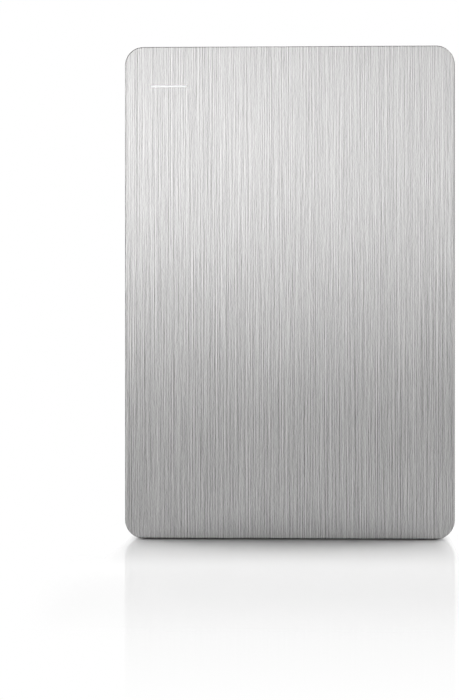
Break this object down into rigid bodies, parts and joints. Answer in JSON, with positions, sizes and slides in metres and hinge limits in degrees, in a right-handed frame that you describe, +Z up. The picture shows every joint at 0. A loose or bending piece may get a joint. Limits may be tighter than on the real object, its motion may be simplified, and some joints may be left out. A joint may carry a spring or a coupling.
{
  "type": "portable external hard drive",
  "caption": "Slim upright portable hard drive: brushed metal front with a light slit on a black moulded case, with a data port at the top and a disk drive inside.",
  "frame": {"origin": "under the middle of the body, on the surface that it stands on", "axes": "+Z up along the body towards the port end, +Y from the brushed front to the back, +X to the right as seen from the front"},
  "size_m": [0.076, 0.012, 0.1135],
  "materials": {
    "brushed_cover": "silver, fine straight brushed grain, clear anodised",
    "case_plastic": "black, fine moulded grain",
    "frame_plastic": "dark grey moulding",
    "light_pipe_plastic": "milky clear",
    "bonding_film": "thin white film",
    "bumper_rubber": "soft dark grey",
    "board_laminate": "green coated laminate",
    "chip_resin": "black moulded resin",
    "lamp_resin": "white lamp body",
    "can_steel": "tinned steel",
    "choke_ferrite": "dark ferrite",
    "capacitor_ceramic": "tan fired ceramic",
    "port_steel": "bright folded steel",
    "connector_resin": "black moulded resin",
    "contact_gold": "gold plated",
    "shield_aluminium": "thin crinkled foil",
    "screw_steel": "plain steel",
    "cast_alloy": "grey die casting",
    "lid_steel": "stamped sheet, satin",
    "gasket_rubber": "black gasket",
    "filter_felt": "white felt",
    "bearing_bronze": "sintered bronze",
    "stator_steel": "stacked laminations",
    "copper_wire": "enamelled copper",
    "hub_alloy": "fine turned",
    "magnet_nickel": "nickel plated",
    "platter_mirror": "polished",
    "arm_alloy": "machined extrusion",
    "spring_steel": "thin rolled spring sheet",
    "head_ceramic": "dark polished ceramic",
    "ramp_resin": "ivory bearing resin",
    "flex_film": "amber film"
  },
  "bodies": {
    "enclosure": {"front_cover": "brushed_cover", "cover_adhesive": "bonding_film", "front_frame": "frame_plastic", "rear_case": "case_plastic", "light_pipe": "light_pipe_plastic", "lower_bumper_left": "bumper_rubber", "lower_bumper_right": "bumper_rubber", "side_bumper_left": "bumper_rubber", "side_bumper_right": "bumper_rubber", "bridge_board": "board_laminate", "bridge_screws": "screw_steel", "bridge_controller": "chip_resin", "firmware_chip": "chip_resin", "board_crystal": "can_steel", "board_inductor": "choke_ferrite", "board_capacitors": "capacitor_ceramic", "status_led": "lamp_resin", "port_shell": "port_steel", "port_tongue": "connector_resin", "port_contacts": "contact_gold", "drive_socket": "connector_resin", "socket_tails": "contact_gold", "shield_foil": "shield_aluminium", "drive_base": "cast_alloy", "drive_lid": "lid_steel", "lid_seal": "gasket_rubber", "lid_screws": "screw_steel", "breather_filter": "filter_felt", "air_filter": "filter_felt", "drive_board": "board_laminate", "drive_board_screws": "screw_steel", "drive_controller": "chip_resin", "motor_driver": "chip_resin", "cache_chip": "chip_resin", "drive_plug": "connector_resin", "plug_contacts": "contact_gold", "bearing_sleeve": "bearing_bronze", "stator_core": "stator_steel", "stator_coils": "copper_wire", "pivot_shaft": "screw_steel", "lower_yoke": "magnet_nickel", "upper_yoke": "magnet_nickel", "voice_magnet": "magnet_nickel", "crash_stops": "bumper_rubber", "parking_ramp": "ramp_resin", "flex_bracket": "connector_resin", "head_flex": "flex_film"},
    "disc_stack": {"spindle_hub": "hub_alloy", "spindle_shaft": "screw_steel", "rotor_magnet": "magnet_nickel", "platter": "platter_mirror", "disk_clamp": "hub_alloy", "clamp_screw": "screw_steel"},
    "actuator": {"actuator_arm": "arm_alloy", "pivot_sleeve": "spring_steel", "voice_coil": "copper_wire", "upper_suspension": "spring_steel", "lower_suspension": "spring_steel", "head_sliders": "head_ceramic"}
  },
  "joints": [
    {"name": "spindle_spin", "type": "hinge", "parent": "enclosure", "child": "disc_stack", "pos_m": [0, 0, 0.03802], "axis": [0, 1, 0], "continuous": true},
    {"name": "actuator_swing", "type": "hinge", "parent": "enclosure", "child": "actuator", "pos_m": [-0.008, 0, 0.07723], "axis": [0, 1, 0], "range_deg": [0, 35.9], "deforming": ["head_flex"]}
  ]
}
